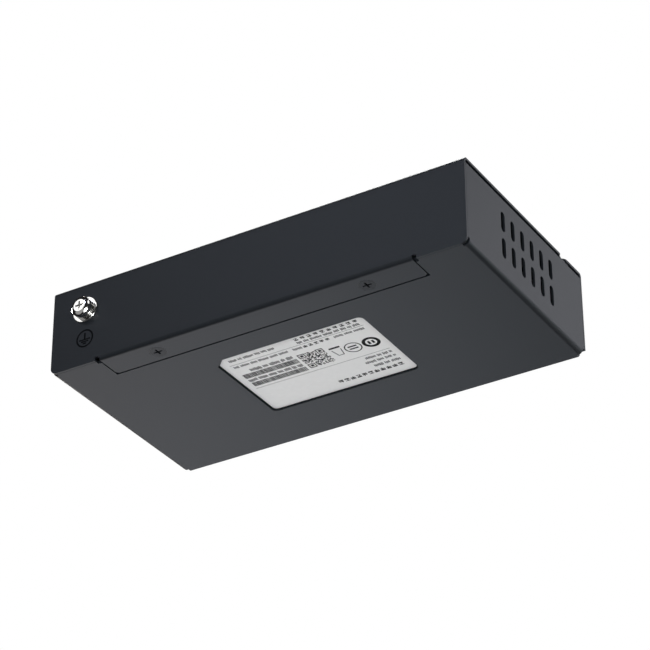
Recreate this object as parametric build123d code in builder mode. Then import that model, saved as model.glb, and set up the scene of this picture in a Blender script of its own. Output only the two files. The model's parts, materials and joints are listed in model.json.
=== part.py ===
from build123d import *
import os

# Desktop ethernet switch: eight network ports in a folded sheet-metal case of two parts.
# Millimetres, +Z up. The origin is the centre of the case's underside, the ports face -Y, and the
# ground screw is on the rear wall, towards +X. Left is -X, as seen from the front.

os.makedirs("parts", exist_ok=True)

# Case
case_width = 148.0
case_depth = 77.0
case_height = 30.0
sheet = 0.8
bend_radius = 1.6
half_width = case_width / 2
front_y = -case_depth / 2
rear_y = case_depth / 2
inner_front_y = front_y + sheet
inner_rear_y = rear_y - sheet

# Base tray
cover_gap = 1.15
wall_top = case_height - sheet - cover_gap
seam = 0.1
rear_gap = 0.1
corner_relief = 0.4
relief_height = 2.0
rear_cutback = 0.85
flange_bend_radius = 1.2
flange_reach = 11.9
flange_corner = 2.4

# Top cover
cover_front_y = -24.0
wall_corner = 2.1
tab_half_width = 55.6
tab_reach = 10.15
tab_gap = 0.6
tab_side_gap = 0.4
tab_bend_radius = 1.2
tab_corner = 0.9
tab_fold_start = 1.7
notch_width = 1.5
notch_height = 1.3
notch_depth = 2.1
lip_side_inset = 0.4
lip_clearance = 0.1
lip_slope = 1.3
lip_overlap = 3.4
lip_bend_radius = 1.0

# Vent slots, the same in both side walls
vent_width = 2.5
vent_height = 6.95
vent_columns = 6
vent_rows = 2
vent_column_pitch = 6.25
vent_row_pitch = 9.4
vent_y = -0.8
vent_z = 15.15

# Label and its recess
label_width = 52.5
label_depth = 35.5
label_y = 0.1
label_corner = 1.4
label_cut_corner = 3.0
label_thickness = 0.12
recess_gap = 0.5
recess_depth = 0.7

# Cover screws, M3 countersunk
cover_screw_spacing = 74.6
cover_screw_inset = 5.75
cover_screw_length = 5.0
countersunk_head_radius = 2.75
cover_recess_reach = 1.55
cover_recess_depth = 1.1
cover_recess_width = 0.6
m3_radius = 1.5
screw_clearance = 0.05
collar_wall = 0.8
collar_height = 1.6
recess_taper = 0.4

# Ground terminal, M4
ground_x = 61.35
ground_z = 19.6
m4_radius = 2.0
ground_screw_length = 8.0
flat_washer_radius = 4.5
flat_washer_thickness = 0.8
flat_washer_chamfer = 0.15
spring_washer_radius = 3.4
spring_washer_thickness = 0.9
spring_washer_split = 0.5
ground_head_radius = 3.45
ground_head_height = 2.1
ground_head_foot = 0.3
ground_head_rim = 1.4
ground_head_shoulder = 0.5
ground_head_crown_radius = 2.1
ground_recess_reach = 1.5
ground_recess_depth = 1.4
ground_recess_width = 0.6
ground_nut_radius = 4.4
ground_nut_height = 3.8
ground_nut_pilot_radius = 2.7

# Circuit board and its fixings
board_thickness = 1.6
board_side_gap = 1.5
board_front_gap = 0.3
board_rear_gap = 7.1
standoff_height = 5.0
standoff_radius = 2.75
standoff_side_gap = 7.2
standoff_module_gap = 0.65
standoff_rear_gap = 4.6
board_screw_head_radius = 2.75
board_screw_head_height = 2.0
board_screw_head_round = 1.0
board_screw_length = 5.5
board_recess_reach = 1.5
board_recess_depth = 1.2
board_recess_width = 0.6
board_hole_radius = 1.7
board_bottom = sheet + standoff_height
board_top = board_bottom + board_thickness
board_half_width = half_width - sheet - board_side_gap
board_front_y = inner_front_y + board_front_gap
board_rear_y = inner_rear_y - board_rear_gap

# Port blocks: four ports side by side, latch upwards
ports_per_block = 4
port_pitch = 13.97
shield = 0.3
shield_proud = 0.5
housing_side_wall = 1.45
housing_height = 13.2
housing_depth = 18.4
block_gap = 1.2
panel_clearance = 0.3
port_width = 11.8
port_height = 7.0
port_depth = 14.0
port_sill = 1.6
key_width = 6.2
key_height = 1.3
latch_width = 3.3
latch_height = 1.3
peg_radius = 1.6
peg_length = 3.0
peg_rear_gap = 6.0
housing_width = (ports_per_block - 1) * port_pitch + port_width + 2 * housing_side_wall
block_width = housing_width + 2 * shield
housing_front_y = front_y - shield_proud + shield
housing_rear_y = housing_front_y + housing_depth
port_floor = board_top + port_sill
port_roof = port_floor + port_height
port_end_y = housing_front_y + port_depth

# Contact springs
contacts_per_port = 8
contact_pitch = 1.02
contact_width = 0.35
contact_thickness = 0.3
contact_crest = 2.6
contact_setback = 2.5
contact_nose = 0.5
contact_crest_setback = 10.0
contact_end_setback = 11.8
contact_end_drop = 0.35

# Light pipes in the top corners of each port
pipe_width = 2.2
pipe_height = 1.9
pipe_length = 12.0
pipe_spread = 4.65
pipe_lift = 0.9
pipe_clearance = 0.05

# Power inlet and power light
jack_body_width = 9.0
jack_body_height = 11.0
jack_body_depth = 13.0
jack_body_chamfer = 1.0
jack_nose_radius = 4.0
jack_axis_height = 6.3
jack_bore_radius = 3.15
jack_bore_depth = 10.5
jack_pin_radius = 1.05
jack_pin_setback = 1.5
jack_pin_round = 0.4
jack_spring_width = 2.0
jack_spring_thickness = 0.3
jack_spring_length = 7.35
jack_spring_lift = 0.25
jack_spring_bow = 0.6
light_radius = 1.5
light_lens_round = 0.6
light_body = 3.6
light_height = 8.0
jack_z = board_top + jack_axis_height
jack_end_y = front_y + jack_bore_depth

# The row on the front: two port blocks, the inlet and the light, with even gaps from wall to wall
front_gaps = 4
front_room = case_width - 2 * sheet - 2 * block_width - block_gap - jack_body_width - light_body
front_gap = front_room / front_gaps
left_block_x = -half_width + sheet + front_gap + block_width / 2
right_block_x = left_block_x + block_width + block_gap
blocks = (("left", left_block_x), ("right", right_block_x))
light_x = half_width - sheet - front_gap - light_body / 2
jack_x = light_x - light_body / 2 - front_gap - jack_body_width / 2

# Transformer modules, one behind each pair of ports
module_width = 27.0
module_depth = 13.6
module_height = 5.4
module_chamfer = 0.6
module_gap = 2.4
module_lead = 1.6
module_leads = 10
module_lead_pitch = 2.3
lead_width = 0.5
lead_height = 0.2
ports_per_module = 2
module_y = housing_rear_y + shield + module_gap + module_depth / 2
module_rear_y = module_y + module_depth / 2 + module_lead

# Switch chip and its heat sink, close behind the modules
chip_x = -10.0
chip_size = 16.0
chip_height = 1.4
chip_corner = 0.8
pad_thickness = 0.5
sink_size = 25.0
sink_gap = 0.9
sink_base = 2.0
sink_fin_height = 8.0
sink_fins = 8
sink_fin_thickness = 1.2
chip_y = module_rear_y + sink_gap + sink_size / 2

# Other parts on the board, in two rows behind the modules
first_row_gap = 11.0
second_row_gap = 20.4
first_row_y = module_rear_y + first_row_gap
second_row_y = module_rear_y + second_row_gap
small_chip_width = 5.0
small_chip_depth = 4.0
small_chip_height = 1.5
small_chip_leads = 4
small_chip_lead = 1.0
small_chip_pitch = 1.27
memory_from_chip = 32.0
regulator_from_jack = 30.0
crystal_length = 11.0
crystal_width = 4.6
crystal_height = 3.6
crystal_rim = 0.4
crystal_round = 0.5
crystal_from_chip = 22.0
inductor_size = 7.0
inductor_height = 4.0
inductor_corner = 1.2
inductor_core_radius = 2.5
inductor_groove = 0.3
inductor_from_jack = 31.0
inductor_spacing = 10.0
capacitor_radius = 4.0
capacitor_height = 10.0
capacitor_foot = 1.0
capacitor_can_start = 0.5
capacitor_groove_height = 2.4
capacitor_groove = 0.4
capacitor_screw_gap = 0.35
capacitor_spacing = 8.6
capacitor_from_jack = 12.0
fuse_length = 6.0
fuse_width = 2.6
fuse_height = 2.4
fuse_cap = 1.2
fuse_waist = 0.2
fuse_light_gap = 10.8
resistor_length = 2.0
resistor_width = 1.25
resistor_height = 0.5
resistor_columns = 2
resistor_rows = 4
resistor_column_pitch = 2.6
resistor_row_pitch = 3.4
resistor_group_gap = 15.4
left_resistors_from_chip = 45.0
right_resistors_from_chip = 18.0


def across(y):
    """The upright plane across the case at depth y: its x is +X, its y is +Z, it looks to the front."""
    return Plane.XZ.offset(-y)


def cut_cross_recess(top, along, into, reach, depth, width):
    """Cut a cross recess into the screw being built: its middle is at top and it goes down into."""
    other = Vector(*into).cross(Vector(*along))
    for arm in (Vector(*along), other):
        with BuildSketch(Plane(origin=top, x_dir=arm, z_dir=arm.cross(Vector(*into)))) as recess:
            foot = reach * recess_taper
            Polygon((-reach, 0), (reach, 0), (foot, depth), (-foot, depth), align=None)
        extrude(recess.sketch, amount=width / 2, both=True, mode=Mode.SUBTRACT)


def seat_block(x, y, z, length, width, height, mode=Mode.ADD):
    """A block that stands at height z, with its middle at x, y."""
    with Locations((x, y, z)):
        Box(length, width, height, align=(Align.CENTER, Align.CENTER, Align.MIN), mode=mode)


# The label's outline, with one corner cut off
with BuildSketch() as label_shape:
    with Locations((0, label_y)):
        Rectangle(label_width, label_depth)
    rear_right = label_shape.vertices().group_by(Axis.X)[-1].sort_by(Axis.Y)[-1]
    chamfer(rear_right, label_cut_corner)
    square_corners = label_shape.vertices().group_by(Axis.X)[0]
    square_corners += label_shape.vertices().group_by(Axis.Y)[0].group_by(Axis.X)[-1]
    fillet(square_corners, label_corner)

# Base tray: floor, side walls, front panel and its top flange, folded from one sheet
ledge_half_width = tab_half_width + tab_side_gap + sheet
tab_slot_y = rear_y - tab_reach - tab_gap
ledge_end_y = rear_y - bend_radius - rear_gap
cover_screw_y = rear_y - cover_screw_inset
tray_rear_y = inner_rear_y - rear_gap
with BuildPart() as base_tray:
    with BuildSketch(across(tray_rear_y)):
        with BuildLine():
            FilletPolyline(
                (-half_width, wall_top),
                (-half_width, 0),
                (half_width, 0),
                (half_width, wall_top),
                radius=bend_radius,
            )
            offset(amount=sheet, side=Side.LEFT)
        make_face()
    extrude(amount=tray_rear_y - inner_front_y - seam)
    # The side folds stop short of the corners
    relief = bend_radius + corner_relief
    for side in (-1, 1):
        corner_x = side * half_width
        seat_block(corner_x, front_y, 0, 2 * relief, 2 * relief, relief_height, Mode.SUBTRACT)
        seat_block(corner_x, tray_rear_y, 0, 2 * relief, 2 * rear_cutback, relief_height, Mode.SUBTRACT)
    # Front panel and flange, then the shorter fold that joins them to the floor
    with BuildSketch(Plane.YZ.offset(-half_width)):
        with BuildLine():
            FilletPolyline(
                (front_y, relief_height),
                (front_y, case_height),
                (front_y + flange_reach, case_height),
                radius=flange_bend_radius,
            )
            offset(amount=sheet, side=Side.RIGHT)
        make_face()
    extrude(amount=case_width)
    with BuildSketch(Plane.YZ.offset(relief - half_width)):
        with BuildLine():
            FilletPolyline(
                (front_y + relief, 0),
                (front_y, 0),
                (front_y, relief_height),
                radius=bend_radius,
            )
            offset(amount=sheet, side=Side.RIGHT)
        make_face()
    extrude(amount=case_width - 2 * relief)
    flange_corners = (
        base_tray.edges()
        .filter_by(Axis.Z)
        .filter_by_position(Axis.Y, front_y + flange_reach - 0.01, front_y + flange_reach + 0.01)
    )
    fillet(flange_corners, flange_corner)
    # Vent slots through both side walls
    with BuildSketch(Plane.YZ):
        with Locations((vent_y, vent_z)):
            with GridLocations(vent_column_pitch, vent_row_pitch, vent_columns, vent_rows):
                SlotOverall(vent_height, vent_width, rotation=90)
    extrude(amount=case_width, both=True, mode=Mode.SUBTRACT)
    # Label recess, pressed up into the case
    with BuildSketch(Plane.XY.offset(sheet)):
        add(label_shape.sketch_local)
        offset(amount=recess_gap + sheet)
    extrude(amount=recess_depth)
    with BuildSketch():
        add(label_shape.sketch_local)
        offset(amount=recess_gap)
    extrude(amount=recess_depth, mode=Mode.SUBTRACT)
    # Seat for the cover's tab: the floor steps up by one sheet
    with BuildSketch(Plane.XY.offset(sheet)):
        with Locations((0, (tab_slot_y - sheet + ledge_end_y) / 2)):
            Rectangle(2 * ledge_half_width, ledge_end_y - tab_slot_y + sheet)
    extrude(amount=sheet)
    with BuildSketch():
        with Locations((0, (tab_slot_y + rear_y) / 2)):
            Rectangle(2 * (tab_half_width + tab_side_gap), rear_y - tab_slot_y)
    extrude(amount=sheet, mode=Mode.SUBTRACT)
    for side in (-1, 1):
        notch_x = side * (tab_half_width + notch_width / 2)
        seat_block(notch_x, rear_y, 0, notch_width, 2 * notch_depth, 2 * sheet, Mode.SUBTRACT)
    # Threaded collars for the cover screws
    with BuildSketch(Plane.XY.offset(2 * sheet)):
        with Locations((0, cover_screw_y)):
            with GridLocations(cover_screw_spacing, 0, 2, 1):
                Circle(m3_radius + screw_clearance + collar_wall)
    extrude(amount=collar_height)
    with Locations(Location((0, cover_screw_y, 0), (180, 0, 0))):
        with GridLocations(cover_screw_spacing, 0, 2, 1):
            CounterSinkHole(
                m3_radius + screw_clearance,
                countersunk_head_radius + screw_clearance,
                depth=2 * sheet + collar_height,
            )
    # Openings of the front panel
    with BuildSketch(across(front_y)):
        for _, block_x in blocks:
            with Locations((block_x, board_top + (housing_height + shield) / 2)):
                Rectangle(
                    block_width + 2 * panel_clearance,
                    housing_height + shield + 2 * panel_clearance,
                )
        with Locations((jack_x, jack_z)):
            Circle(jack_nose_radius + panel_clearance)
        with Locations((light_x, jack_z)):
            Circle(light_radius + panel_clearance)
    extrude(amount=-2 * sheet, mode=Mode.SUBTRACT)
base_tray.part.label = "base_tray"
export_step(base_tray.part, "parts/base_tray.step")

# Top cover: top, rear wall and screwed tab, folded from one sheet
lip_top = case_height - sheet - lip_clearance
lip_start_y = cover_front_y - lip_slope
lip_end_y = front_y + flange_reach - lip_overlap
with BuildPart() as top_cover:
    with BuildSketch(Plane.YZ):
        with BuildLine():
            FilletPolyline(
                (cover_front_y, case_height),
                (rear_y, case_height),
                (rear_y, 0),
                radius=bend_radius,
            )
            offset(amount=sheet, side=Side.RIGHT)
        make_face()
    extrude(amount=half_width, both=True)
    low_corners = (
        top_cover.edges().filter_by(Axis.Y).filter_by_position(Axis.Z, -0.01, 0.01)
    )
    fillet(low_corners, wall_corner)
    # The tab is folded between two relief notches
    seat_block(0, rear_y, 0, 2 * tab_half_width, 2 * bend_radius, tab_fold_start, Mode.SUBTRACT)
    for side in (-1, 1):
        notch_x = side * (tab_half_width + notch_width / 2)
        seat_block(notch_x, rear_y, 0, notch_width, 2 * bend_radius, notch_height, Mode.SUBTRACT)
    with BuildSketch(Plane.YZ):
        with BuildLine():
            FilletPolyline(
                (rear_y, tab_fold_start),
                (rear_y, 0),
                (rear_y - tab_reach, 0),
                radius=tab_bend_radius,
            )
            offset(amount=sheet, side=Side.RIGHT)
        make_face()
    extrude(amount=tab_half_width, both=True)
    tab_corners = (
        top_cover.edges()
        .filter_by(Axis.Z)
        .filter_by_position(Axis.Y, rear_y - tab_reach - 0.01, rear_y - tab_reach + 0.01)
    )
    chamfer(tab_corners, tab_corner)
    with Locations(Location((0, cover_screw_y, 0), (180, 0, 0))):
        with GridLocations(cover_screw_spacing, 0, 2, 1):
            CounterSinkHole(
                m3_radius + screw_clearance,
                countersunk_head_radius + screw_clearance,
                depth=2 * sheet,
            )
    # Joggled lip, which slips over the side walls and under the base's front flange
    with BuildSketch(Plane.YZ):
        with BuildLine():
            FilletPolyline(
                (cover_front_y + 2 * sheet, case_height),
                (cover_front_y, case_height),
                (lip_start_y, lip_top),
                (lip_end_y, lip_top),
                radius=lip_bend_radius,
            )
            offset(amount=sheet, side=Side.LEFT)
        make_face()
    extrude(amount=half_width - lip_side_inset, both=True)
    # Hole for the ground screw's nut
    with Locations(Location((ground_x, rear_y, ground_z), (-90, 0, 0))):
        Hole(ground_nut_pilot_radius + screw_clearance, depth=2 * sheet)
top_cover.part.label = "top_cover"
export_step(top_cover.part, "parts/top_cover.step")

# Cover screws
for side, screw_x in (("left", -cover_screw_spacing / 2), ("right", cover_screw_spacing / 2)):
    with BuildPart() as cover_screw:
        with BuildSketch(across(cover_screw_y)):
            with Locations((screw_x, 0)):
                Polygon(
                    (0, 0),
                    (countersunk_head_radius, 0),
                    (m3_radius, countersunk_head_radius - m3_radius),
                    (m3_radius, cover_screw_length),
                    (0, cover_screw_length),
                    align=None,
                )
        revolve(axis=Axis((screw_x, cover_screw_y, 0), (0, 0, 1)))
        cut_cross_recess(
            (screw_x, cover_screw_y, 0),
            (1, 0, 0),
            (0, 0, 1),
            cover_recess_reach,
            cover_recess_depth,
            cover_recess_width,
        )
    cover_screw.part.label = f"cover_screw_{side}"
    export_step(cover_screw.part, f"parts/cover_screw_{side}.step")

# Ground terminal: flat washer, split spring washer, screw and clinch nut, from the rear wall out
ground_axis = Axis((ground_x, rear_y, ground_z), (0, 1, 0))
ground_plane = Plane(origin=(ground_x, rear_y, ground_z), x_dir=(1, 0, 0), z_dir=(0, 1, 0))
head_y = rear_y + flat_washer_thickness + spring_washer_thickness
washer_hole = m4_radius + 2 * screw_clearance
with BuildPart() as ground_flat_washer:
    with BuildSketch(ground_plane):
        Circle(flat_washer_radius)
        Circle(washer_hole, mode=Mode.SUBTRACT)
    extrude(amount=flat_washer_thickness)
    washer_rims = ground_flat_washer.edges().filter_by(GeomType.CIRCLE).sort_by(SortBy.RADIUS)[-2:]
    chamfer(washer_rims, flat_washer_chamfer)
ground_flat_washer.part.label = "ground_flat_washer"
export_step(ground_flat_washer.part, "parts/ground_flat_washer.step")

with BuildPart() as ground_spring_washer:
    with BuildSketch(ground_plane.offset(flat_washer_thickness)):
        Circle(spring_washer_radius)
        Circle(washer_hole, mode=Mode.SUBTRACT)
        with Locations((-spring_washer_radius, 0)):
            Rectangle(2 * spring_washer_radius, spring_washer_split, mode=Mode.SUBTRACT)
    extrude(amount=spring_washer_thickness)
ground_spring_washer.part.label = "ground_spring_washer"
export_step(ground_spring_washer.part, "parts/ground_spring_washer.step")

with BuildPart() as ground_screw:
    with BuildSketch(Plane(origin=(ground_x, head_y, ground_z), x_dir=(1, 0, 0), z_dir=(0, 0, 1))):
        with BuildLine():
            Polyline(
                (0, ground_head_height),
                (0, -ground_screw_length),
                (m4_radius, -ground_screw_length),
                (m4_radius, 0),
                (ground_head_radius - ground_head_foot, 0),
                (ground_head_radius, ground_head_foot),
                (ground_head_radius, ground_head_rim),
            )
            ThreePointArc(
                (ground_head_radius, ground_head_rim),
                (ground_head_radius - ground_head_shoulder, ground_head_height - ground_head_foot),
                (ground_head_crown_radius, ground_head_height),
            )
            Line((ground_head_crown_radius, ground_head_height), (0, ground_head_height))
        make_face()
    revolve(axis=ground_axis)
    cut_cross_recess(
        (ground_x, head_y + ground_head_height, ground_z),
        (1, 0, 0),
        (0, -1, 0),
        ground_recess_reach,
        ground_recess_depth,
        ground_recess_width,
    )
ground_screw.part.label = "ground_screw"
export_step(ground_screw.part, "parts/ground_screw.step")

with BuildPart() as ground_nut:
    with BuildSketch(ground_plane.offset(-sheet)):
        Circle(ground_nut_radius)
    extrude(amount=-ground_nut_height)
    with BuildSketch(ground_plane.offset(-sheet)):
        Circle(ground_nut_pilot_radius)
    extrude(amount=sheet)
    with Locations(Location((ground_x, rear_y, ground_z), (-90, 0, 0))):
        Hole(m4_radius + screw_clearance, depth=2 * ground_nut_height)
ground_nut.part.label = "ground_nut"
export_step(ground_nut.part, "parts/ground_nut.step")

# Label on the floor of its recess
with BuildPart() as bottom_label:
    with BuildSketch(Plane.XY.offset(recess_depth - label_thickness)):
        add(label_shape.sketch_local)
    extrude(amount=label_thickness)
bottom_label.part.label = "bottom_label"
export_step(bottom_label.part, "parts/bottom_label.step")

# Circuit board
standoff_x = half_width - sheet - standoff_side_gap
front_standoff_y = module_rear_y + standoff_module_gap + standoff_radius
rear_standoff_y = board_rear_y - standoff_rear_gap
fixing_points = [(side * standoff_x, y) for y in (front_standoff_y, rear_standoff_y) for side in (-1, 1)]
peg_x = housing_width / 2 - port_pitch / 2
peg_y = housing_rear_y - peg_rear_gap
peg_points = [(block_x + side * peg_x, peg_y) for _, block_x in blocks for side in (-1, 1)]
with BuildPart() as circuit_board:
    with BuildSketch(Plane.XY.offset(board_bottom)):
        with Locations((0, (board_front_y + board_rear_y) / 2)):
            Rectangle(2 * board_half_width, board_rear_y - board_front_y)
        with Locations(*fixing_points):
            Circle(board_hole_radius, mode=Mode.SUBTRACT)
        with Locations(*peg_points):
            Circle(peg_radius + screw_clearance, mode=Mode.SUBTRACT)
    extrude(amount=board_thickness)
circuit_board.part.label = "circuit_board"
export_step(circuit_board.part, "parts/circuit_board.step")

# Standoffs on the base and the screws that hold the board on them
for number, (x, y) in enumerate(fixing_points, start=1):
    with BuildPart() as standoff:
        with BuildSketch(Plane.XY.offset(sheet)):
            with Locations((x, y)):
                RegularPolygon(standoff_radius, 6)
                Circle(m3_radius + screw_clearance, mode=Mode.SUBTRACT)
        extrude(amount=standoff_height)
    standoff.part.label = f"board_standoff_{number}"
    export_step(standoff.part, f"parts/board_standoff_{number}.step")

    with BuildPart() as board_screw:
        with BuildSketch(Plane.XY.offset(board_top)):
            with Locations((x, y)):
                Circle(board_screw_head_radius)
        extrude(amount=board_screw_head_height)
        head_rim = board_screw.edges().filter_by(GeomType.CIRCLE).sort_by(Axis.Z)[-1]
        fillet(head_rim, board_screw_head_round)
        with BuildSketch(Plane.XY.offset(board_top)):
            with Locations((x, y)):
                Circle(m3_radius)
        extrude(amount=-board_screw_length)
        cut_cross_recess(
            (x, y, board_top + board_screw_head_height),
            (1, 1, 0),
            (0, 0, -1),
            board_recess_reach,
            board_recess_depth,
            board_recess_width,
        )
    board_screw.part.label = f"board_screw_{number}"
    export_step(board_screw.part, f"parts/board_screw_{number}.step")


def port_places(block_x):
    """The middle of each port's opening at floor height, in a plane across the case."""
    first_x = block_x - (ports_per_block - 1) * port_pitch / 2
    return [(first_x + number * port_pitch, port_floor) for number in range(ports_per_block)]


def port_openings(block_x):
    """The keyed openings of a block's ports: room for the plug, its key and its latch."""
    low = (Align.CENTER, Align.MIN)
    with Locations(*port_places(block_x)):
        Rectangle(port_width, port_height, align=low)
        Rectangle(key_width, port_height + key_height, align=low)
        Rectangle(latch_width, port_height + key_height + latch_height, align=low)


def light_pipes(block_x, margin=0.0):
    """The sections of a block's light pipes, grown by margin."""
    for x, _ in port_places(block_x):
        for side in (-1, 1):
            with Locations((x + side * pipe_spread, port_roof + pipe_lift + pipe_height / 2)):
                Rectangle(pipe_width + 2 * margin, pipe_height + 2 * margin)


# Port blocks
port_number = 0
for side, block_x in blocks:
    with BuildPart() as port_housing:
        seat_block(
            block_x,
            housing_front_y + housing_depth / 2,
            board_top,
            housing_width,
            housing_depth,
            housing_height,
        )
        with BuildSketch(across(housing_front_y)):
            port_openings(block_x)
        extrude(amount=-port_depth, mode=Mode.SUBTRACT)
        with BuildSketch(across(housing_front_y)):
            light_pipes(block_x, pipe_clearance)
        extrude(amount=-pipe_length, mode=Mode.SUBTRACT)
        with BuildSketch(Plane.XY.offset(board_top)):
            with Locations(*[(x, y) for x, y in peg_points if abs(x - block_x) < block_width / 2]):
                Circle(peg_radius)
        extrude(amount=-peg_length)
    port_housing.part.label = f"port_housing_{side}"
    export_step(port_housing.part, f"parts/port_housing_{side}.step")

    with BuildPart() as port_shield:
        seat_block(
            block_x,
            housing_front_y + housing_depth / 2,
            board_top,
            block_width,
            housing_depth + 2 * shield,
            housing_height + shield,
        )
        outer_edges = port_shield.edges().filter_by(Axis.Z)
        outer_edges += port_shield.edges().filter_by(Axis.X).sort_by(Axis.Z)[-2:]
        fillet(outer_edges, shield)
        seat_block(
            block_x,
            housing_front_y + housing_depth / 2,
            board_top,
            housing_width,
            housing_depth,
            housing_height,
            Mode.SUBTRACT,
        )
        with BuildSketch(across(housing_front_y - shield)):
            port_openings(block_x)
            light_pipes(block_x, pipe_clearance)
        extrude(amount=-2 * shield, mode=Mode.SUBTRACT)
    port_shield.part.label = f"port_shield_{side}"
    export_step(port_shield.part, f"parts/port_shield_{side}.step")

    with BuildPart() as port_leds:
        with BuildSketch(across(housing_front_y - shield)):
            light_pipes(block_x)
        extrude(amount=-pipe_length)
    port_leds.part.label = f"port_leds_{side}"
    export_step(port_leds.part, f"parts/port_leds_{side}.step")

    for port_x, _ in port_places(block_x):
        port_number += 1
        first_x = port_x - (contacts_per_port - 1) * contact_pitch / 2
        contact_planes = [
            Plane.YZ.offset(first_x + number * contact_pitch) for number in range(contacts_per_port)
        ]
        bend_y = housing_front_y + contact_setback
        crest_y = housing_front_y + contact_crest_setback
        end_y = housing_front_y + contact_end_setback
        crest_z = port_floor + contact_crest
        with BuildPart() as port_contacts:
            with BuildSketch(*contact_planes):
                Polygon(
                    (port_end_y, port_floor),
                    (bend_y, port_floor),
                    (bend_y - contact_nose, port_floor + contact_nose),
                    (crest_y, crest_z),
                    (end_y, crest_z - contact_end_drop),
                    (end_y, crest_z - contact_end_drop - contact_thickness),
                    (crest_y, crest_z - contact_thickness),
                    (bend_y, port_floor + contact_nose),
                    (port_end_y, port_floor + contact_thickness),
                    align=None,
                )
            extrude(amount=contact_width / 2, both=True)
        port_contacts.part.label = f"port_contacts_{port_number}"
        export_step(port_contacts.part, f"parts/port_contacts_{port_number}.step")

# Power inlet
jack_front_y = board_front_y
with BuildPart() as power_jack_housing:
    seat_block(
        jack_x,
        jack_front_y + jack_body_depth / 2,
        board_top,
        jack_body_width,
        jack_body_depth,
        jack_body_height,
    )
    chamfer(power_jack_housing.edges().filter_by(Axis.Y).sort_by(Axis.Z)[-2:], jack_body_chamfer)
    with BuildSketch(across(jack_front_y)):
        with Locations((jack_x, jack_z)):
            Circle(jack_nose_radius)
    extrude(amount=jack_front_y - front_y)
    with BuildSketch(across(front_y)):
        with Locations((jack_x, jack_z)):
            Circle(jack_bore_radius)
    extrude(amount=-jack_bore_depth, mode=Mode.SUBTRACT)
power_jack_housing.part.label = "power_jack_housing"
export_step(power_jack_housing.part, "parts/power_jack_housing.step")

with BuildPart() as power_jack_pin:
    with BuildSketch(across(jack_end_y)):
        with Locations((jack_x, jack_z)):
            Circle(jack_pin_radius)
    extrude(amount=jack_bore_depth - jack_pin_setback)
    pin_tip = power_jack_pin.edges().filter_by(GeomType.CIRCLE).sort_by(Axis.Y)[0]
    fillet(pin_tip, jack_pin_round)
power_jack_pin.part.label = "power_jack_pin"
export_step(power_jack_pin.part, "parts/power_jack_pin.step")

with BuildPart() as power_jack_spring:
    spring_low = jack_z - jack_bore_radius + jack_spring_lift
    spring_bow = spring_low + jack_spring_bow
    spring_front_y = jack_end_y - jack_spring_length
    spring_bow_y = (jack_end_y + spring_front_y) / 2
    with BuildSketch(Plane.YZ.offset(jack_x)):
        Polygon(
            (jack_end_y, spring_low),
            (spring_bow_y, spring_bow),
            (spring_front_y, spring_low),
            (spring_front_y, spring_low + jack_spring_thickness),
            (spring_bow_y, spring_bow + jack_spring_thickness),
            (jack_end_y, spring_low + jack_spring_thickness),
            align=None,
        )
    extrude(amount=jack_spring_width / 2, both=True)
power_jack_spring.part.label = "power_jack_spring"
export_step(power_jack_spring.part, "parts/power_jack_spring.step")

# Power light: a right-angle lamp on the board, with its lens in the front panel
with BuildPart() as power_led:
    seat_block(
        light_x, board_front_y + light_body / 2, board_top, light_body, light_body, light_height
    )
    with BuildSketch(across(board_front_y)):
        with Locations((light_x, jack_z)):
            Circle(light_radius)
    extrude(amount=board_front_y - front_y + panel_clearance)
    lens_rim = power_led.edges().filter_by(GeomType.CIRCLE).sort_by(Axis.Y)[0]
    fillet(lens_rim, light_lens_round)
power_led.part.label = "power_led"
export_step(power_led.part, "parts/power_led.step")

# Transformer modules
module_number = 0
for _, block_x in blocks:
    for side in (-1, 1):
        module_number += 1
        module_x = block_x + side * ports_per_module * port_pitch / 2
        with BuildPart() as transformer:
            seat_block(
                module_x,
                module_y,
                board_top + lead_height,
                module_width,
                module_depth,
                module_height - lead_height,
            )
            chamfer(transformer.faces().sort_by(Axis.Z)[-1].edges(), module_chamfer)
            with Locations((module_x, module_y, board_top)):
                with GridLocations(module_lead_pitch, 0, module_leads, 1):
                    Box(
                        lead_width,
                        module_depth + 2 * module_lead,
                        lead_height,
                        align=(Align.CENTER, Align.CENTER, Align.MIN),
                    )
        transformer.part.label = f"transformer_{module_number}"
        export_step(transformer.part, f"parts/transformer_{module_number}.step")

# Switch chip, thermal pad and heat sink
with BuildPart() as switch_chip:
    seat_block(chip_x, chip_y, board_top, chip_size, chip_size, chip_height)
    first_lead_corner = switch_chip.edges().filter_by(Axis.Z).group_by(Axis.X)[0].sort_by(Axis.Y)[0]
    chamfer(first_lead_corner, chip_corner)
switch_chip.part.label = "switch_chip"
export_step(switch_chip.part, "parts/switch_chip.step")

pad_z = board_top + chip_height
with BuildPart() as thermal_pad:
    seat_block(chip_x, chip_y, pad_z, chip_size, chip_size, pad_thickness)
thermal_pad.part.label = "thermal_pad"
export_step(thermal_pad.part, "parts/thermal_pad.step")

fin_pitch = (sink_size - sink_fin_thickness) / (sink_fins - 1)
with BuildPart() as heat_sink:
    seat_block(chip_x, chip_y, pad_z + pad_thickness, sink_size, sink_size, sink_base)
    with Locations((chip_x, chip_y, pad_z + pad_thickness + sink_base)):
        with GridLocations(fin_pitch, 0, sink_fins, 1):
            Box(
                sink_fin_thickness,
                sink_size,
                sink_fin_height,
                align=(Align.CENTER, Align.CENTER, Align.MIN),
            )
heat_sink.part.label = "heat_sink"
export_step(heat_sink.part, "parts/heat_sink.step")

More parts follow.
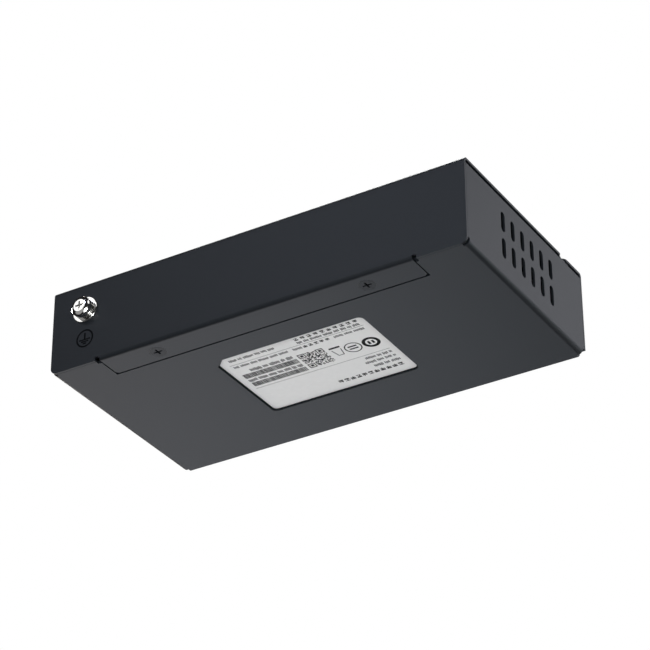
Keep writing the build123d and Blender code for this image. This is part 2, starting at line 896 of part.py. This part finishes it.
# Small chips with leads on two sides
for name, x in (
    ("memory_chip", chip_x - memory_from_chip),
    ("regulator_chip", jack_x - regulator_from_jack),
):
    with BuildPart() as small_chip:
        seat_block(
            x,
            second_row_y,
            board_top + lead_height,
            small_chip_width,
            small_chip_depth,
            small_chip_height - lead_height,
        )
        with Locations((x, second_row_y, board_top)):
            with GridLocations(small_chip_pitch, 0, small_chip_leads, 1):
                Box(
                    lead_width,
                    small_chip_depth + 2 * small_chip_lead,
                    lead_height,
                    align=(Align.CENTER, Align.CENTER, Align.MIN),
                )
    small_chip.part.label = name
    export_step(small_chip.part, f"parts/{name}.step")

# Crystal in its oval can
with BuildPart() as crystal:
    with BuildSketch(Plane.XY.offset(board_top)):
        with Locations((chip_x - crystal_from_chip, first_row_y)):
            SlotOverall(crystal_length, crystal_width)
    extrude(amount=crystal_rim)
    with BuildSketch(Plane.XY.offset(board_top)):
        with Locations((chip_x - crystal_from_chip, first_row_y)):
            SlotOverall(crystal_length - 2 * crystal_rim, crystal_width - 2 * crystal_rim)
    extrude(amount=crystal_height)
    fillet(crystal.faces().sort_by(Axis.Z)[-1].edges(), crystal_round)
crystal.part.label = "crystal"
export_step(crystal.part, "parts/crystal.step")

# Inductors: a square body with a round core
for number, side in ((1, -1), (2, 1)):
    inductor_x = jack_x - inductor_from_jack + side * inductor_spacing / 2
    with BuildPart() as inductor:
        seat_block(
            inductor_x, first_row_y, board_top, inductor_size, inductor_size, inductor_height
        )
        chamfer(inductor.edges().filter_by(Axis.Z), inductor_corner)
        with BuildSketch(Plane.XY.offset(board_top + inductor_height)):
            with Locations((inductor_x, first_row_y)):
                Circle(inductor_core_radius + inductor_groove)
                Circle(inductor_core_radius, mode=Mode.SUBTRACT)
        extrude(amount=-inductor_groove, mode=Mode.SUBTRACT)
    inductor.part.label = f"inductor_{number}"
    export_step(inductor.part, f"parts/inductor_{number}.step")

# Electrolytic capacitors: a can with a crimped groove on a square foot
second_capacitor_y = front_standoff_y - board_screw_head_radius - capacitor_screw_gap - capacitor_radius
capacitor_points = (
    (jack_x, second_capacitor_y - capacitor_spacing),
    (jack_x, second_capacitor_y),
    (jack_x - capacitor_from_jack, first_row_y),
)
can_waist = capacitor_radius - capacitor_groove
for number, (x, y) in enumerate(capacitor_points, start=1):
    with BuildPart() as capacitor:
        seat_block(x, y, board_top, 2 * capacitor_radius, 2 * capacitor_radius, capacitor_foot)
        with BuildSketch(across(y)):
            with Locations((x, board_top)):
                Polygon(
                    (0, capacitor_can_start),
                    (capacitor_radius, capacitor_can_start),
                    (capacitor_radius, capacitor_groove_height - capacitor_groove),
                    (can_waist, capacitor_groove_height),
                    (capacitor_radius, capacitor_groove_height + capacitor_groove),
                    (capacitor_radius, capacitor_height - capacitor_groove),
                    (can_waist, capacitor_height),
                    (0, capacitor_height),
                    align=None,
                )
        revolve(axis=Axis((x, y, 0), (0, 0, 1)))
    capacitor.part.label = f"capacitor_{number}"
    export_step(capacitor.part, f"parts/capacitor_{number}.step")

# Fuse behind the power light: two end caps with a slimmer body between them
fuse_y = board_front_y + light_body + fuse_light_gap + fuse_length / 2
with BuildPart() as fuse:
    seat_block(light_x, fuse_y, board_top, fuse_width, fuse_length, fuse_height)
    for side in (-1, 1):
        seat_block(
            light_x + side * fuse_width / 2,
            fuse_y,
            board_top,
            2 * fuse_waist,
            fuse_length - 2 * fuse_cap,
            fuse_height,
            Mode.SUBTRACT,
        )
fuse.part.label = "fuse"
export_step(fuse.part, "parts/fuse.step")

# Chip resistors in a group at each side of the switch chip
resistors_y = module_rear_y + resistor_group_gap
resistor_places = (
    (chip_x - left_resistors_from_chip, resistors_y, board_top),
    (chip_x + right_resistors_from_chip, resistors_y, board_top),
)
with BuildPart() as chip_resistors:
    with Locations(*resistor_places):
        with GridLocations(
            resistor_column_pitch, resistor_row_pitch, resistor_columns, resistor_rows
        ):
            Box(
                resistor_width,
                resistor_length,
                resistor_height,
                align=(Align.CENTER, Align.CENTER, Align.MIN),
            )
chip_resistors.part.label = "chip_resistors"
export_step(chip_resistors.part, "parts/chip_resistors.step")
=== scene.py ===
"""Ethernet switch: the finishes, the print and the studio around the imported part.

Lengths are in metres, in the part's frame. The print is laid out in millimetres.
"""
import json
import math
import random

import bmesh
import bpy
from mathutils import Matrix, Vector


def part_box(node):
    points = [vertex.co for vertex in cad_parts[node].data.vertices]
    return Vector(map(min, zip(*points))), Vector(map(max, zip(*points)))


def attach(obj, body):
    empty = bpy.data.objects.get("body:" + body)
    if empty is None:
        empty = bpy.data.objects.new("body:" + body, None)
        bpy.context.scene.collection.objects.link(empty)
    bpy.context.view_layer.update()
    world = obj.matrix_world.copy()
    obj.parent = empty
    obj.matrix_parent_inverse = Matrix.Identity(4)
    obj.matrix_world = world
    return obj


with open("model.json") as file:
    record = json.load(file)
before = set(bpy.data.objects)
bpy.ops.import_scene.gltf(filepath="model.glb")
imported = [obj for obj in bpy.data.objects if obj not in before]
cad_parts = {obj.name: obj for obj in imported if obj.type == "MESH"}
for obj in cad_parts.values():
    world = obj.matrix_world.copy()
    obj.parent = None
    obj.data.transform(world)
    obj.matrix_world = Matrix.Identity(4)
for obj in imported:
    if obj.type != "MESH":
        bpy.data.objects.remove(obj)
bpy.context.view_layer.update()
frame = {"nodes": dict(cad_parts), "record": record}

MM = 0.001

# Camera of the photograph: below and behind the switch
CAMERA_PLACE = Vector((-371.91, 615.04, -417.62)) * MM
CAMERA_AIM = Vector((-5.51, 4.10, 10.95)) * MM
CAMERA_ROLL = -0.25
CAMERA_LENS = 148.08
SENSOR = 36.0

# Studio
FLOOR_HEIGHT = -1.0
FLOOR_SIZE = 60.0
FLOOR_COLOUR = (0.94, 0.94, 0.945)
FLOOR_GLOW = 0.9
BACKDROP = (1.0, 1.0, 1.0)
AMBIENT = (0.01, 0.01, 0.01)
LIGHT_AIM = Vector((0.0, 0.0, 15.0)) * MM
LIGHT_DISTANCE = 0.9
LIGHTS = (
    # name, direction from the switch, size, watts, colour
    ("under_front", (0.446, -0.74, -0.50), 0.45, 0.86, (0.82, 0.90, 1.00)),
    ("under_right", (0.62, -0.58, -0.53), 0.45, 0.70, (1.00, 0.95, 0.97)),
    ("right_low", (0.90, -0.35, -0.25), 0.45, 4.35, (1.00, 0.94, 0.86)),
    ("under", (0.10, -0.30, -0.95), 0.45, 0.75, (1.00, 0.96, 0.97)),
    ("side", (-0.75, -0.60, 0.28), 0.45, 1.57, (0.92, 0.89, 1.00)),
    ("side_high", (-0.45, -0.74, 0.50), 0.45, 0.68, (0.92, 0.95, 1.00)),
    ("side_low", (-0.85, -0.50, -0.20), 0.45, 1.82, (0.81, 0.98, 1.00)),
    ("rear_glint", (0.48, 0.70, 0.51), 0.24, 0.20, (1.00, 1.00, 1.00)),
    ("rear_high", (0.32, 0.765, 0.56), 0.20, 0.74, (0.80, 0.85, 1.00)),
    ("rear_right", (0.50, 0.85, -0.10), 0.80, 0.50, (1.00, 1.00, 1.00)),
    ("rear_left", (-0.47, 0.59, 0.65), 0.45, 0.60, (1.00, 1.00, 1.00)),
    ("rear_low", (-0.30, 0.90, -0.30), 0.45, 6.90, (0.98, 1.00, 1.00)),
    ("top", (0.15, -0.38, 0.92), 0.55, 9.00, (1.00, 1.00, 1.00)),
    ("front", (0.25, -0.92, 0.36), 0.60, 8.00, (1.00, 1.00, 1.00)),
    ("front_low", (-0.18, -0.98, -0.06), 0.60, 2.20, (1.00, 1.00, 1.00)),
    ("right", (0.90, -0.30, 0.32), 0.45, 9.00, (1.00, 1.00, 1.00)),
)

# Print: the share of its thickness that lies inside the face
PRINT_SINK = 0.1

# Layout of the label's print, in millimetres from the label's corner
LABEL_SEED = 11
FIELD_LEFT = 2.6
FIELD_RIGHT = 22.4
PRINT_RIGHT = 50.4
SMALL_PRINT = 1.15
FOOT_PRINT = 1.2
LARGE_PRINT = 1.5


class Finish:
    """A material around one Principled shader."""

    def __init__(self, name, colour, roughness, metallic=0.0, **sockets):
        self.material = bpy.data.materials.new(name)
        self.material.use_nodes = True
        self.material.diffuse_color = (*colour, 1.0)
        self.tree = self.material.node_tree
        self.shader = self.tree.nodes["Principled BSDF"]
        self.colour = colour
        self.set("Base Color", (*colour, 1.0))
        self.set("Roughness", roughness)
        self.set("Metallic", metallic)
        for socket, value in sockets.items():
            self.set(socket.replace("_", " "), value)

    def set(self, socket, value):
        self.shader.inputs[socket].default_value = value

    def node(self, kind, inputs=None, **settings):
        """A new node with these settings and input values."""
        made = self.tree.nodes.new(kind)
        for setting, value in settings.items():
            setattr(made, setting, value)
        for socket, value in (inputs or {}).items():
            made.inputs[socket].default_value = value
        return made

    def link(self, source, target):
        self.tree.links.new(source, target)

    def place(self, stretch=(1.0, 1.0, 1.0)):
        """The point on the object, in metres, stretched along the axes."""
        point = self.node("ShaderNodeTexCoord").outputs["Object"]
        if stretch == (1.0, 1.0, 1.0):
            return point
        mapping = self.node("ShaderNodeMapping", {"Scale": stretch})
        self.link(point, mapping.inputs["Vector"])
        return mapping.outputs["Vector"]

    def noise(self, grain, detail=2.0, stretch=(1.0, 1.0, 1.0)):
        """Noise whose grain is about that wide, in metres."""
        noise = self.node("ShaderNodeTexNoise", {"Scale": 1.0 / grain, "Detail": detail})
        self.link(self.place(stretch), noise.inputs["Vector"])
        return noise.outputs["Fac"]

    def spread(self, value, low, high):
        """A value around the middle of 0 to 1, spread from low to high."""
        ramp = self.node(
            "ShaderNodeMapRange",
            {"From Min": 0.3, "From Max": 0.7, "To Min": low, "To Max": high},
        )
        self.link(value, ramp.inputs["Value"])
        return ramp.outputs["Result"]

    def mottle(self, value, share):
        """The base colour, darker and lighter by that share with the value."""
        mix = self.node("ShaderNodeMix", data_type="RGBA")
        mix.inputs["A"].default_value = (*[c * (1.0 - share) for c in self.colour], 1.0)
        mix.inputs["B"].default_value = (*[c * (1.0 + share) for c in self.colour], 1.0)
        self.link(self.spread(value, 0.0, 1.0), mix.inputs["Factor"])
        self.link(mix.outputs["Result"], self.shader.inputs["Base Color"])

    def rough(self, value, low, high):
        self.link(self.spread(value, low, high), self.shader.inputs["Roughness"])

    def bump(self, value, height, soften=0.0):
        """Relief of that height in metres, on edges softened by that radius."""
        bump = self.node("ShaderNodeBump", {"Strength": 1.0, "Distance": height})
        self.link(value, bump.inputs["Height"])
        if soften:
            bevel = self.node("ShaderNodeBevel", {"Radius": soften}, samples=4)
            self.link(bevel.outputs["Normal"], bump.inputs["Normal"])
        self.link(bump.outputs["Normal"], self.shader.inputs["Normal"])


def powder_coat():
    """Matt dark paint with a fine sandy grain."""
    finish = Finish("powder_coat", (0.0098, 0.012, 0.0156), 0.45, Specular_IOR_Level=0.25)
    finish.mottle(finish.noise(0.5 * MM, 3.0), 0.05)
    finish.rough(finish.noise(0.5 * MM), 0.43, 0.47)
    finish.bump(finish.noise(0.35 * MM, 2.0), 0.003 * MM, soften=0.06 * MM)
    return finish.material


def black_oxide():
    """Satin black on a steel screw."""
    finish = Finish("black_oxide", (0.0085, 0.010, 0.0125), 0.45, Specular_IOR_Level=0.2)
    finish.mottle(finish.noise(0.5 * MM), 0.15)
    finish.rough(finish.noise(0.8 * MM), 0.42, 0.48)
    finish.bump(finish.noise(0.25 * MM), 0.003 * MM, soften=0.08 * MM)
    return finish.material


def plated(name, colour, low, high, grain=1.2 * MM, soften=0.06 * MM):
    """Plated metal with a slightly uneven gloss."""
    finish = Finish(name, colour, low, metallic=1.0)
    finish.mottle(finish.noise(2.5 * MM), 0.04)
    finish.rough(finish.noise(grain, 3.0), low, high)
    finish.bump(finish.noise(0.5 * MM), 0.0012 * MM, soften=soften)
    return finish.material


def streaked(name, colour, low, high, stretch):
    """Rolled or drawn metal with streaks along one direction."""
    finish = Finish(name, colour, low, metallic=1.0)
    streaks = finish.noise(0.4 * MM, 3.0, stretch)
    finish.mottle(streaks, 0.08)
    finish.rough(streaks, low, high)
    finish.bump(streaks, 0.002 * MM)
    return finish.material


def moulded(name, colour, roughness, grain=0.3 * MM, height=0.006 * MM, **sockets):
    """Moulded plastic, rubber or ceramic with a fine matt grain."""
    finish = Finish(name, colour, roughness, **sockets)
    finish.mottle(finish.noise(1.5 * MM), 0.07)
    finish.rough(finish.noise(2 * MM), roughness - 0.05, roughness + 0.05)
    finish.bump(finish.noise(grain), height)
    return finish.material


def label_film():
    """Satin pale film with a faint cloudiness."""
    finish = Finish("label_film", (0.91, 0.905, 0.90), 0.5)
    finish.mottle(finish.noise(1.5 * MM), 0.015)
    finish.rough(finish.noise(0.8 * MM), 0.42, 0.48)
    finish.bump(finish.noise(0.6 * MM), 0.001 * MM)
    return finish.material


def board_laminate():
    """Green solder mask over copper tracks, which show a little lighter and raised."""
    finish = Finish("board_laminate", (0.018, 0.12, 0.055), 0.3, Coat_Weight=0.4)
    tracks = finish.node(
        "ShaderNodeTexBrick",
        {"Scale": 1.0, "Mortar Size": 0.12 * MM, "Brick Width": 7 * MM, "Row Height": 1.1 * MM},
    )
    finish.link(finish.place(), tracks.inputs["Vector"])
    mix = finish.node("ShaderNodeMix", data_type="RGBA")
    mix.inputs["A"].default_value = (0.014, 0.10, 0.045, 1.0)
    mix.inputs["B"].default_value = (0.035, 0.20, 0.09, 1.0)
    finish.link(tracks.outputs["Fac"], mix.inputs["Factor"])
    finish.link(mix.outputs["Result"], finish.shader.inputs["Base Color"])
    finish.rough(finish.noise(4 * MM), 0.25, 0.35)
    finish.bump(tracks.outputs["Fac"], 0.01 * MM)
    return finish.material


def ink(name, colour):
    """Matt printed ink, slightly uneven."""
    finish = Finish(name, colour, 0.85, Specular_IOR_Level=0.05)
    finish.mottle(finish.noise(0.3 * MM), 0.12)
    finish.rough(finish.noise(0.5 * MM), 0.8, 0.9)
    return finish.material


def dress_nodes():
    """Give each node of the part the finish of its slot."""
    finishes = {
        "case_paint": powder_coat(),
        "black_screw": black_oxide(),
        "nickel": plated("bright_nickel", (0.86, 0.85, 0.83), 0.11, 0.17),
        "zinc": plated("zinc_plate", (0.60, 0.62, 0.65), 0.28, 0.42),
        "label_film": label_film(),
        "board_laminate": board_laminate(),
        "chip_plastic": moulded("chip_epoxy", (0.022, 0.022, 0.024), 0.55),
        "thermal_rubber": moulded("thermal_rubber", (0.32, 0.35, 0.42), 0.8),
        "bare_aluminium": streaked("bare_aluminium", (0.72, 0.73, 0.75), 0.28, 0.42, (1.0, 0.05, 1.0)),
        "fuse_ceramic": moulded("glazed_ceramic", (0.60, 0.58, 0.52), 0.3),
        "black_plastic": moulded("black_plastic", (0.018, 0.018, 0.020), 0.45),
        "shield_steel": streaked("tinned_steel", (0.50, 0.50, 0.49), 0.34, 0.48, (0.06, 1.0, 1.0)),
        "light_plastic": moulded(
            "light_plastic", (0.62, 0.68, 0.60), 0.25, height=0.002 * MM, Transmission_Weight=0.25
        ),
        "gold_contact": plated("gold_flash", (0.86, 0.60, 0.22), 0.16, 0.26),
    }
    for part in frame["record"]["subparts"]:
        for slot in frame["nodes"][part["node"]].material_slots:
            slot.material = finishes[part["material_slot"]]


def prism(work, outline, start, depth):
    """A thin plate: a closed outline of points at start, carried along depth."""
    low = [work.verts.new(point + start) for point in outline]
    high = [work.verts.new(point + start + depth) for point in outline]
    work.faces.new(low)
    work.faces.new(reversed(high))
    for number in range(len(outline)):
        following = (number + 1) % len(outline)
        work.faces.new((low[following], low[number], high[number], high[following]))


class Print:
    """Flat shapes printed on a face: u runs to the right and v downwards, as one looks at the face."""

    def __init__(self, corner, right, down, outward, thickness):
        self.corner = corner
        self.right = right
        self.down = down
        self.start = outward * -PRINT_SINK * thickness
        self.depth = outward * thickness
        self.work = bmesh.new()

    def at(self, u, v):
        return self.corner + self.right * (u * MM) + self.down * (v * MM)

    def bar(self, left, top, right, bottom):
        corners = ((left, top), (right, top), (right, bottom), (left, bottom))
        prism(self.work, [self.at(u, v) for u, v in corners], self.start, self.depth)

    def stroke(self, from_uv, to_uv, width):
        """A straight bar between two points."""
        across = Vector((from_uv[1] - to_uv[1], to_uv[0] - from_uv[0])).normalized() * width / 2
        corners = (
            (from_uv[0] + across.x, from_uv[1] + across.y),
            (to_uv[0] + across.x, to_uv[1] + across.y),
            (to_uv[0] - across.x, to_uv[1] - across.y),
            (from_uv[0] - across.x, from_uv[1] - across.y),
        )
        prism(self.work, [self.at(u, v) for u, v in corners], self.start, self.depth)

    def ring(self, u, v, radius, width, steps=48):
        """A ring of that outer radius."""
        inner = radius - width
        turn = 2 * math.pi / steps
        for step in range(steps):
            ends = (step * turn, (step + 1) * turn)
            sector = [(u + radius * math.cos(a), v + radius * math.sin(a)) for a in ends]
            sector += [(u + inner * math.cos(a), v + inner * math.sin(a)) for a in reversed(ends)]
            prism(self.work, [self.at(*point) for point in sector], self.start, self.depth)

    def finish(self, name, material, slot):
        """The printed shapes as one piece on the part."""
        bmesh.ops.remove_doubles(self.work, verts=self.work.verts, dist=0.0)
        bmesh.ops.recalc_face_normals(self.work, faces=self.work.faces)
        mesh = bpy.data.meshes.new(name)
        self.work.to_mesh(mesh)
        self.work.free()
        piece = bpy.data.objects.new(name, mesh)
        bpy.context.scene.collection.objects.link(piece)
        piece.data.materials.append(material)
        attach(piece, "root")


def word_row(page, draw, left, right, middle, height):
    """A row of ticks in groups, which reads as small print from a step away."""
    tick = 0.30
    gap = 0.16
    word_gap = 0.7
    fewest, most = 3, 9
    reaches = (0.4, 0.44, 0.6)
    u = left
    while u < right - tick:
        for _ in range(draw.randint(fewest, most)):
            if u > right - tick:
                break
            rise = draw.choice(reaches)
            drop = draw.choice(reaches)
            page.bar(u, middle - height * rise, u + tick, middle + height * drop)
            u += tick + gap
        u += word_gap - gap


def block_row(page, draw, left, right, middle, size, pitch):
    """A row of square marks, each of three short bars and a stem."""
    bar_places = (-0.4, -0.15, 0.15, 0.4)
    bars = 3
    u = left
    line = 0.2 * size
    while u < right - size / 2:
        for share in draw.sample(bar_places, bars):
            v = middle + share * size
            page.bar(u, v - line / 2, u + size, v + line / 2)
        stem = u + size * draw.uniform(0.25, 0.65)
        page.bar(stem, middle - size / 2, stem + line, middle + size / 2)
        u += pitch


def bar_field(page, draw, left, right, top, bottom):
    """A field of upright bars of uneven width."""
    widths = (0.15, 0.3, 0.45)
    gaps = (0.1, 0.1, 0.2)
    u = left
    while u < right:
        width = draw.choice(widths)
        page.bar(u, top, min(u + width, right), bottom)
        u += width + draw.choice(gaps)


def square_field(page, draw, left, top, size, cells):
    """A square field of seeded random cells with a nested square in three corners."""
    cell = size / cells
    corner = 7
    for row in range(cells):
        start = None
        for column in range(cells + 1):
            near_left = column <= corner
            near_right = column >= cells - corner - 1
            in_corner = (near_left and (row <= corner or row >= cells - corner - 1)) or (
                near_right and row <= corner
            )
            dark = column < cells and draw.random() < 0.5 and not in_corner
            if dark and start is None:
                start = column
            if not dark and start is not None:
                v = top + row * cell
                page.bar(left + start * cell, v, left + column * cell, v + cell)
                start = None
    for column, row in ((0, 0), (cells - corner, 0), (0, cells - corner)):
        u, v = left + column * cell, top + row * cell
        side = corner * cell
        page.bar(u, v, u + side, v + cell)
        page.bar(u, v + side - cell, u + side, v + side)
        page.bar(u, v + cell, u + cell, v + side - cell)
        page.bar(u + side - cell, v + cell, u + side, v + side - cell)
        page.bar(u + 2 * cell, v + 2 * cell, u + side - 2 * cell, v + side - 2 * cell)


def label_page(thickness):
    """The label's face, seen from below with the rear wall's side up."""
    low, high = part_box("bottom_label")
    corner = Vector((high.x, high.y, low.z))
    return Print(corner, Vector((-1, 0, 0)), Vector((0, -1, 0)), Vector((0, 0, -1)), thickness)


def label_head(page, draw):
    """Two rows of small print and square marks above the fields."""
    second_row = 6.6
    word_row(page, draw, left=3.6, right=20.8, middle=2.6, height=SMALL_PRINT)
    block_row(page, draw, left=27.8, right=PRINT_RIGHT, middle=1.75, size=1.35, pitch=2.33)
    word_row(page, draw, left=27.7, right=PRINT_RIGHT, middle=3.75, height=SMALL_PRINT)
    word_row(page, draw, left=3.0, right=22.6, middle=second_row, height=SMALL_PRINT)
    word_row(page, draw, left=24.5, right=27.6, middle=second_row, height=SMALL_PRINT)
    block_row(page, draw, left=28.2, right=38.4, middle=second_row, size=1.3, pitch=2.0)
    word_row(page, draw, left=39.2, right=PRINT_RIGHT, middle=second_row, height=1.1)


def label_fields(page, draw):
    """Two fields of bars, each under a row of print, and a square field of cells."""
    word_row(page, draw, left=6.6, right=FIELD_RIGHT, middle=10.3, height=LARGE_PRINT)
    bar_field(page, draw, left=FIELD_LEFT, right=FIELD_RIGHT, top=11.7, bottom=14.3)
    word_row(page, draw, left=FIELD_LEFT, right=FIELD_RIGHT, middle=15.85, height=LARGE_PRINT)
    bar_field(page, draw, left=FIELD_LEFT, right=FIELD_RIGHT, top=17.25, bottom=19.65)
    square_field(page, draw, left=23.5, top=10.1, size=9.0, cells=25)


def label_foot(page, draw):
    """Three short rows of print at the right, over a row of square marks."""
    for left, middle in ((40.9, 22.9), (39.5, 25.4), (41.1, 28.1)):
        word_row(page, draw, left=left, right=PRINT_RIGHT, middle=middle, height=FOOT_PRINT)
    block_row(page, draw, left=26.5, right=PRINT_RIGHT, middle=31.1, size=1.6, pitch=2.15)


def label_signs(page):
    """Plain signs: a cup under a bar, and two rings with bars in them."""
    cup_top = 13.4
    cup_foot = 16.9
    line = 0.28
    page.bar(34.0, 11.75, 37.8, 12.6)
    page.stroke((34.3, cup_top), (35.0, cup_foot), line)
    page.stroke((37.5, cup_top), (36.8, cup_foot), line)
    page.stroke((34.9, cup_foot), (36.9, cup_foot), line)
    page.ring(41.15, 14.9, radius=2.9, width=0.4)
    page.bar(39.6, 13.85, 42.7, 14.5)
    page.bar(39.6, 15.2, 42.7, 15.85)
    page.ring(47.5, 14.95, radius=2.95, width=1.1)
    page.bar(46.4, 14.1, 47.2, 15.9)
    page.bar(47.8, 14.1, 48.6, 15.9)


def label_print():
    """Generic print on the label, the same in each run."""
    page = label_page(0.012 * MM)
    draw = random.Random(LABEL_SEED)
    label_head(page, draw)
    label_fields(page, draw)
    label_foot(page, draw)
    label_signs(page)
    page.finish("label_print", ink("print_ink", (0.018, 0.018, 0.020)), "label_film")


def label_rules():
    """Two thin grey rules across the label."""
    page = label_page(0.010 * MM)
    page.bar(2.4, 4.98, 50.6, 5.12)
    page.bar(2.0, 20.98, 50.6, 21.12)
    page.finish("label_rules", ink("rule_ink", (0.12, 0.12, 0.12)), "label_film")


def earth_sign():
    """The earth sign below the ground screw: a ring with a stem and three bars, printed in black."""
    screw_low, screw_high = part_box("ground_screw")
    middle = (screw_low + screw_high) / 2
    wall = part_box("top_cover")[1].y
    corner = Vector((middle.x, wall, middle.z))
    page = Print(corner, Vector((-1, 0, 0)), Vector((0, 0, -1)), Vector((0, 1, 0)), 0.03 * MM)
    drop = 10.19
    stem_half_width = 0.28
    stem_rise = 1.96
    first_bar = 0.2
    bar_pitch = 0.7
    bar_height = 0.46
    page.ring(0.0, drop, radius=3.2, width=0.55)
    page.bar(-stem_half_width, drop - stem_rise, stem_half_width, drop + first_bar)
    for number, half_length in enumerate((2.1, 1.4, 0.7)):
        top = drop + first_bar + number * bar_pitch
        page.bar(-half_length, top, half_length, top + bar_height)
    page.finish("earth_sign", ink("sign_ink", (0.002, 0.0023, 0.003)), "case_paint")


def aim(piece, place, target, roll=0.0):
    """Stand a camera or light at place, looking at target."""
    turn = (target - place).to_track_quat("-Z", "Y").to_matrix().to_4x4()
    piece.matrix_world = Matrix.Translation(place) @ turn @ Matrix.Rotation(math.radians(roll), 4, "Z")


def camera():
    data = bpy.data.cameras.new("photo_camera")
    data.lens = CAMERA_LENS
    data.sensor_width = SENSOR
    data.sensor_fit = "HORIZONTAL"
    data.clip_start = 0.01
    data.clip_end = 100.0
    eye = bpy.data.objects.new("photo_camera", data)
    bpy.context.scene.collection.objects.link(eye)
    aim(eye, CAMERA_PLACE, CAMERA_AIM, CAMERA_ROLL)
    bpy.context.scene.camera = eye


def lamps():
    """Soft lights around the switch."""
    for name, direction, size, watts, colour in LIGHTS:
        data = bpy.data.lights.new(name, "AREA")
        data.shape = "DISK"
        data.size = size
        data.energy = watts
        data.color = colour
        lamp = bpy.data.objects.new(name, data)
        lamp.visible_camera = False
        bpy.context.scene.collection.objects.link(lamp)
        aim(lamp, LIGHT_AIM + Vector(direction).normalized() * LIGHT_DISTANCE, LIGHT_AIM)


def surroundings():
    """A white backdrop for the camera and a faint ambient light for everything else."""
    world = bpy.data.worlds.new("studio")
    bpy.context.scene.world = world
    world.use_nodes = True
    nodes, links = world.node_tree.nodes, world.node_tree.links
    ambient = nodes["Background"]
    ambient.inputs["Color"].default_value = (*AMBIENT, 1.0)
    backdrop = nodes.new("ShaderNodeBackground")
    backdrop.inputs["Color"].default_value = (*BACKDROP, 1.0)
    seen = nodes.new("ShaderNodeLightPath")
    mix = nodes.new("ShaderNodeMixShader")
    links.new(seen.outputs["Is Camera Ray"], mix.inputs["Fac"])
    links.new(ambient.outputs["Background"], mix.inputs[1])
    links.new(backdrop.outputs["Background"], mix.inputs[2])
    links.new(mix.outputs["Shader"], nodes["World Output"].inputs["Surface"])


def pale_floor():
    """A floor far below, which the light's bounces don't see."""
    half = FLOOR_SIZE / 2
    corners = [(-half, -half, 0), (half, -half, 0), (half, half, 0), (-half, half, 0)]
    mesh = bpy.data.meshes.new("floor")
    mesh.from_pydata(corners, [], [(0, 1, 2, 3)])
    floor = bpy.data.objects.new("floor", mesh)
    floor.location.z = FLOOR_HEIGHT
    floor.visible_diffuse = False
    floor.visible_glossy = False
    pale = Finish("floor_pale", FLOOR_COLOUR, 0.9)
    pale.set("Emission Color", (*FLOOR_COLOUR, 1.0))
    pale.set("Emission Strength", FLOOR_GLOW)
    floor.data.materials.append(pale.material)
    bpy.context.scene.collection.objects.link(floor)


bpy.context.scene.view_settings.view_transform = "Standard"
dress_nodes()
label_print()
label_rules()
earth_sign()
camera()
lamps()
surroundings()
pale_floor()

bpy.context.view_layer.update()
